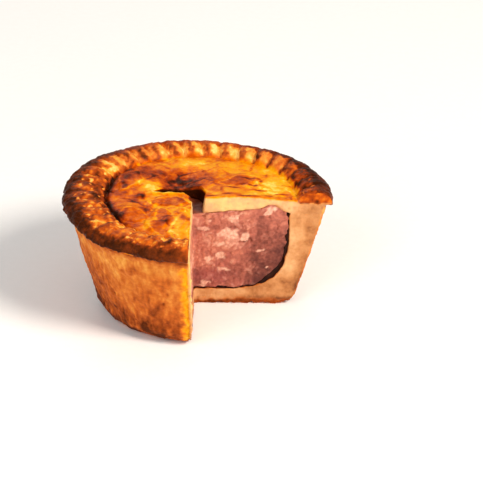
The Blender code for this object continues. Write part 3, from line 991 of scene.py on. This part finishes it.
def tint(code):
    """An sRGB hex colour as linear red, green, blue and alpha."""
    parts = [int(code[place:place + 2], 16) / 255.0 for place in (1, 3, 5)]
    linear = [part / 12.92 if part <= 0.04045 else ((part + 0.055) / 1.055) ** 2.4 for part in parts]
    return (*linear, 1.0)


def add(tree, kind, links=(), stops=(), **settings):
    """Adds a node with its settings and links.

    links maps its inputs, by name or number, to plain values or to other nodes' outputs.
    stops are the (place, hex colour) pairs of its colour ramp.
    """
    node = tree.nodes.new(kind)
    for name, value in settings.items():
        setattr(node, name, value)
    for name, value in dict(links).items():
        if isinstance(value, bpy.types.NodeSocket):
            tree.links.new(value, node.inputs[name])
        else:
            node.inputs[name].default_value = value
    if stops:
        ramp = node.color_ramp.elements
        ramp[0].position, ramp[1].position = stops[0][0], stops[-1][0]
        for place, _ in stops[1:-1]:
            ramp.new(place)
        for element, (_, code) in zip(ramp, stops):
            element.color = tint(code)
    return node


def new_material(name):
    """An empty material, and the place on the piece that its patterns are read at."""
    material = bpy.data.materials.new(name)
    material.use_nodes = True
    tree = material.node_tree
    tree.nodes.clear()
    return material, tree, add(tree, "ShaderNodeTexCoord").outputs["Object"]


def per_mm(size):
    """The noise scale that puts bumps about size mm apart."""
    return 1.0 / (size * MM)


def varied(tree, amount, patterns):
    """An amount that the mesh carries, made uneven by (pattern, strength) pairs."""
    for pattern, strength in patterns:
        even = add(tree, "ShaderNodeMath", {0: pattern, 1: 0.5}, operation="SUBTRACT")
        amount = add(tree, "ShaderNodeMath", {0: even.outputs["Value"], 1: strength, 2: amount},
                     operation="MULTIPLY_ADD").outputs["Value"]
    return amount


def layered(tree, colour, layers):
    """A colour with (share, strength, colour) layers laid over it in turn."""
    for share, strength, laid_over in layers:
        much = add(tree, "ShaderNodeMath", {0: share, 1: strength}, operation="MULTIPLY",
                   use_clamp=True).outputs["Value"]
        colour = add(tree, "ShaderNodeMix", {SHARE: much, UNDER: colour, OVER: laid_over},
                     data_type="RGBA").outputs[MIXED]
    return colour


# From hardly baked to burnt, without and with egg wash, and crumb from dry to soaked, whose dark end
# also stands for painted shade.
PLAIN_BAKE = ((0.0, "#f7cf7c"), (0.2, "#eba44a"), (0.42, "#da7f34"), (0.6, "#c66426"),
              (0.78, "#a04a1c"), (1.0, "#55240c"))
WASHED_BAKE = ((0.0, "#fad25e"), (0.12, "#f2ac12"), (0.26, "#ea9400"), (0.40, "#dc6e00"),
               (0.54, "#c04e00"), (0.68, "#943106"), (0.84, "#5c1d05"), (1.0, "#2c0d02"))
CRUMB = ((0.0, "#eec67e"), (0.3, "#e2ae7a"), (0.55, "#cf925e"), (0.75, "#b97a4a"),
         (1.0, "#74402a"))

# Sizes of the crust's grain, blotches and smallest pores in mm, with detail and roughness.
CRUST_PATTERNS = ((1.1, 4.0, 0.65), (4.0, 3.0, 0.6), (0.8, 3.0, 0.6))


def crust(name, coat):
    """Hot water crust pastry, hand raised and baked: brown and grainy outside, glossy where
    it was brushed with egg, and a close cream crumb where the knife went through. Its
    colours also carry painted shade and painted highlights."""
    material, tree, place = new_material(name)
    bake, wash, crumb, soak, deep = (
        add(tree, "ShaderNodeAttribute", attribute_name=carried).outputs["Fac"]
        for carried in ("bake", "wash", "crumb", "soak", "deep")
    )
    grain, blotch, pores = (
        add(tree, "ShaderNodeTexNoise", {
            "Vector": place, "Scale": per_mm(size), "Detail": detail, "Roughness": roughness,
        }).outputs["Fac"]
        for size, detail, roughness in CRUST_PATTERNS
    )
    bake = varied(tree, bake, ((grain, 0.34), (blotch, 0.16)))
    soak = varied(tree, soak, ((grain, 0.35),))
    plain, washed, inside = (
        add(tree, "ShaderNodeValToRGB", {"Fac": much}, stops).outputs["Color"]
        for much, stops in ((bake, PLAIN_BAKE), (bake, WASHED_BAKE), (soak, CRUMB))
    )
    # The crumb's pores are darkened: painted shade in them.
    colour = layered(tree, plain, (
        (wash, 1.0, washed), (crumb, 1.0, inside), (deep, 0.45, tint("#a5683a")),
    ))
    rough = add(tree, "ShaderNodeMath", {0: grain, 1: 0.25, 2: 0.52}, operation="MULTIPLY_ADD")
    gloss = add(tree, "ShaderNodeMath", {0: wash, 1: -0.20, 2: rough.outputs["Value"]},
                operation="MULTIPLY_ADD")
    lifted = add(tree, "ShaderNodeBump", {"Height": pores, "Strength": 0.35, "Distance": 0.4 * MM})
    shader = add(tree, "ShaderNodeBsdfPrincipled", {
        "Base Color": colour,
        "Roughness": gloss.outputs["Value"],
        "Normal": lifted.outputs["Normal"],
        "IOR": 1.46,
        "Specular IOR Level": 0.09,
        "Specular Tint": tint("#ffae50"),
        "Coat Weight": coat,
        "Coat Roughness": 0.28,
        "Subsurface Weight": 0.12,
        "Subsurface Radius": (1.0, 0.45, 0.18),
        "Subsurface Scale": 1.2 * MM,
    })
    add(tree, "ShaderNodeOutputMaterial", {"Surface": shader.outputs["BSDF"]})
    return material


# From dark, well cooked lean to pale lean, and from lean-stained to clean fat.
LEAN = ((0.0, "#5f2c24"), (0.25, "#8b493a"), (0.48, "#b0624f"), (0.68, "#cd7a60"), (0.85, "#df9778"),
        (1.0, "#eeb496"))
FAT = ((0.25, "#f0a88c"), (0.75, "#fbcfb2"))

# Sizes of the meat's grain, fibres and smallest bumps in mm, with detail and roughness, and
# how much closer together they are up the cut face.
MEAT_PATTERNS = ((1.0, 4.0, 0.65, 1.0), (2.4, 3.0, 0.6, 2.2), (0.9, 3.0, 0.6, 1.0))


def coarse_pork():
    """Coarse chopped pork, cooked: pink-brown lean with a moist sheen, and paler fat."""
    material, tree, place = new_material("coarse_cooked_pork")
    lean, fat, gap, purple = (
        add(tree, "ShaderNodeAttribute", attribute_name=carried).outputs["Fac"]
        for carried in ("lean", "fat", "gap", "purple")
    )
    patterns = []
    for size, detail, roughness, closer in MEAT_PATTERNS:
        drawn = add(tree, "ShaderNodeMapping", {"Vector": place, "Scale": (1.0, 1.0, closer)})
        pattern = add(tree, "ShaderNodeTexNoise", {
            "Vector": drawn.outputs["Vector"], "Scale": per_mm(size), "Detail": detail,
            "Roughness": roughness,
        })
        patterns.append(pattern.outputs["Fac"])
    grain, fibre, bumps = patterns
    lean = varied(tree, lean, ((grain, 0.38), (fibre, 0.26)))
    lean_colour = add(tree, "ShaderNodeValToRGB", {"Fac": lean}, LEAN).outputs["Color"]
    fat_colour = add(tree, "ShaderNodeValToRGB", {"Fac": grain}, FAT).outputs["Color"]
    streaked = add(tree, "ShaderNodeMath", {0: grain, 1: 0.8, 2: 0.55}, operation="MULTIPLY_ADD")
    colour = layered(tree, lean_colour, (
        (purple, 0.45, tint("#9a4048")),
        (fat, streaked.outputs["Value"], fat_colour),
        # Darker in the seams between chunks, with painted shade in the pits and under the steam
        # hole.
        (gap, 0.92, tint("#7a2e0c")),
    ))
    rough = add(tree, "ShaderNodeMath", {0: grain, 1: 0.3, 2: 0.32}, operation="MULTIPLY_ADD")
    lifted = add(tree, "ShaderNodeBump", {"Height": bumps, "Strength": 0.4, "Distance": 0.4 * MM})
    shader = add(tree, "ShaderNodeBsdfPrincipled", {
        "Base Color": colour,
        "Roughness": rough.outputs["Value"],
        "Normal": lifted.outputs["Normal"],
        "IOR": 1.4,
        "Specular IOR Level": 0.35,
        "Subsurface Weight": 0.15,
        "Subsurface Radius": (1.0, 0.35, 0.25),
        "Subsurface Scale": 1.0 * MM,
    })
    add(tree, "ShaderNodeOutputMaterial", {"Surface": shader.outputs["BSDF"]})
    return material


def set_jelly():
    """Savoury jelly, wet, in the narrow gap beside the meat; its brown is deepened to near black as
    painted shade.
    """
    material, tree, place = new_material("set_savoury_jelly")
    cloud = add(tree, "ShaderNodeTexNoise", {
        "Vector": place, "Scale": per_mm(1.8), "Detail": 3.0, "Roughness": 0.6,
    }).outputs["Fac"]
    # Near black: the jelly's own brown with painted shade of its recess laid in.
    colour = add(tree, "ShaderNodeValToRGB", {"Fac": cloud},
                 ((0.3, "#180602"), (0.6, "#2a0e04"), (0.85, "#4a1c0c")))
    rough = add(tree, "ShaderNodeMath", {0: cloud, 1: 0.3, 2: 0.25}, operation="MULTIPLY_ADD")
    lifted = add(tree, "ShaderNodeBump", {"Height": cloud, "Strength": 0.3, "Distance": 0.3 * MM})
    shader = add(tree, "ShaderNodeBsdfPrincipled", {
        "Base Color": colour.outputs["Color"],
        "Roughness": rough.outputs["Value"],
        "Normal": lifted.outputs["Normal"],
        "IOR": 1.36,
        "Specular IOR Level": 0.2,
    })
    add(tree, "ShaderNodeOutputMaterial", {"Surface": shader.outputs["BSDF"]})
    return material


def backdrop_paper():
    """Matte white backdrop paper, pressed with a faint grain: it throws light back evenly."""
    material, tree, place = new_material("backdrop_paper")
    grain = add(tree, "ShaderNodeTexNoise", {
        "Vector": place, "Scale": per_mm(3.0), "Detail": 2.0, "Roughness": 0.5,
    })
    colour = add(tree, "ShaderNodeValToRGB", {"Fac": grain.outputs["Fac"]},
                 ((0.0, "#fbfbfa"), (1.0, "#ffffff")))
    shader = add(tree, "ShaderNodeBsdfPrincipled", {
        "Base Color": colour.outputs["Color"],
        "Roughness": 0.9,
        "Specular IOR Level": 0.0,
    })
    add(tree, "ShaderNodeOutputMaterial", {"Surface": shader.outputs["BSDF"]})
    return material


# ---------------------------------------------------------------- putting it together


def leaned(points):
    """The first knife cut isn't quite upright: its foot is nearer to the missing quarter."""
    from_corner = np.hypot(points[:, 0] - CORNER[0], np.maximum(points[:, 1] - CORNER[1], 0.0))
    share = smooth(LEAN_REACH, 0.0, from_corner) * (1.0 - points[:, 2] / LID_TOP)
    moved = points.copy()
    moved[:, 0] += FIRST_CUT_LEAN * share
    return moved


def settle_into_frame(piece, material):
    """Turns millimetres round the pie's axis into the frame's metres."""
    points = leaned(points_of(piece))
    points[:, :2] += AXIS
    set_points(piece, points * MM)
    piece.data.materials.clear()
    piece.data.materials.append(material)
    piece.data.shade_smooth()


def make_pieces():
    """Makes, textures and dresses the four pieces, and hides the solid each stands for."""
    case, lid, filling, jelly = make_case(), make_lid(), make_filling(), make_jelly()
    texture_case(case)
    texture_lid(lid)
    texture_filling(filling)
    dressing = (
        (case, crust("hot_water_crust", 0.0), "case", "crust"),
        (lid, crust("egg_washed_crust", 0.035), "lid", "glazed_crust"),
        (filling, coarse_pork(), "filling", "pork"),
        (jelly, set_jelly(), "jelly", "jelly"),
    )
    for piece, material, node, slot in dressing:
        settle_into_frame(piece, material)
        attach(piece, "root")
        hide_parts(node)


def make_floor():
    """A sheet of backdrop paper, 8 m square, just under the pie."""
    half = 4.0
    corners = [(-half, -half, 0.0), (half, -half, 0.0), (half, half, 0.0), (-half, half, 0.0)]
    mesh = bpy.data.meshes.new("floor")
    mesh.from_pydata(corners, [], [(0, 1, 2, 3)])
    floor = bpy.data.objects.new("floor", mesh)
    floor.location = (0.0, 0.0, -0.2 * MM)
    bpy.context.scene.collection.objects.link(floor)
    mesh.materials.append(backdrop_paper())


def make_light(name, place, aim, size, watts, colour):
    """A round soft light at a place, turned to what it lights."""
    lamp = bpy.data.lights.new(name, "AREA")
    lamp.shape = "DISK"
    lamp.size = size
    lamp.energy = watts
    lamp.color = tint(colour)[:3]
    holder = bpy.data.objects.new(name, lamp)
    holder.location = place
    holder.rotation_mode = "QUATERNION"
    holder.rotation_quaternion = (Vector(aim) - Vector(place)).to_track_quat("-Z", "Y")
    bpy.context.scene.collection.objects.link(holder)


def make_studio():
    """Soft warm light all round, a key light from the right, a fill from the left, and a
    little light from behind."""
    world = bpy.data.worlds.new("studio")
    world.use_nodes = True
    background = world.node_tree.nodes["Background"]
    background.inputs["Color"].default_value = tint("#fffdfa")
    background.inputs["Strength"].default_value = 0.34
    bpy.context.scene.world = world
    middle = (0.0, 0.0, 0.03)
    make_light("key", (0.75, -0.55, 0.85), middle, 0.45, 15.5, "#fff6ea")
    make_light("fill", (-0.7, -1.0, 0.7), middle, 1.1, 8.0, "#ffffff")
    make_light("back", (-0.25, 0.9, 0.7), middle, 0.5, 2.0, "#fff8ee")
    bpy.context.scene.view_settings.view_transform = "Standard"


# Camera: angles in degrees, distances in metres and lens in mm. It looks a little to the
# right of and above its target, which leaves the pie left of centre.
CAMERA_AZIMUTH, CAMERA_ELEVATION, CAMERA_ROLL = 3.0, 26.3, 1.6
CAMERA_DISTANCE = 1.152
CAMERA_LENS, CAMERA_SENSOR = 223.6, 36.0
TARGET = (0.0, 0.0, 0.020)
AIM_RIGHT, AIM_UP = 0.0169, 0.0058


def make_camera():
    """A long lens, a little to the right of the first cut, with the pie left of centre."""
    azimuth, elevation = math.radians(CAMERA_AZIMUTH), math.radians(CAMERA_ELEVATION)
    back = Vector((
        math.sin(azimuth) * math.cos(elevation),
        -math.cos(azimuth) * math.cos(elevation),
        math.sin(elevation),
    ))
    place = Vector(TARGET) + CAMERA_DISTANCE * back
    right = (-back).cross(Vector((0.0, 0.0, 1.0))).normalized()
    up = right.cross(-back)
    aim = Vector(TARGET) + AIM_RIGHT * right + AIM_UP * up
    data = bpy.data.cameras.new("camera")
    data.lens = CAMERA_LENS
    data.sensor_width = CAMERA_SENSOR
    data.clip_start, data.clip_end = 0.05, 20.0
    camera = bpy.data.objects.new("camera", data)
    camera.location = place
    camera.rotation_mode = "QUATERNION"
    turn = (aim - place).to_track_quat("-Z", "Y")
    camera.rotation_quaternion = turn @ Quaternion((0.0, 0.0, 1.0), math.radians(CAMERA_ROLL))
    bpy.context.scene.collection.objects.link(camera)
    bpy.context.scene.camera = camera


make_camera()
make_studio()
make_floor()
make_pieces()
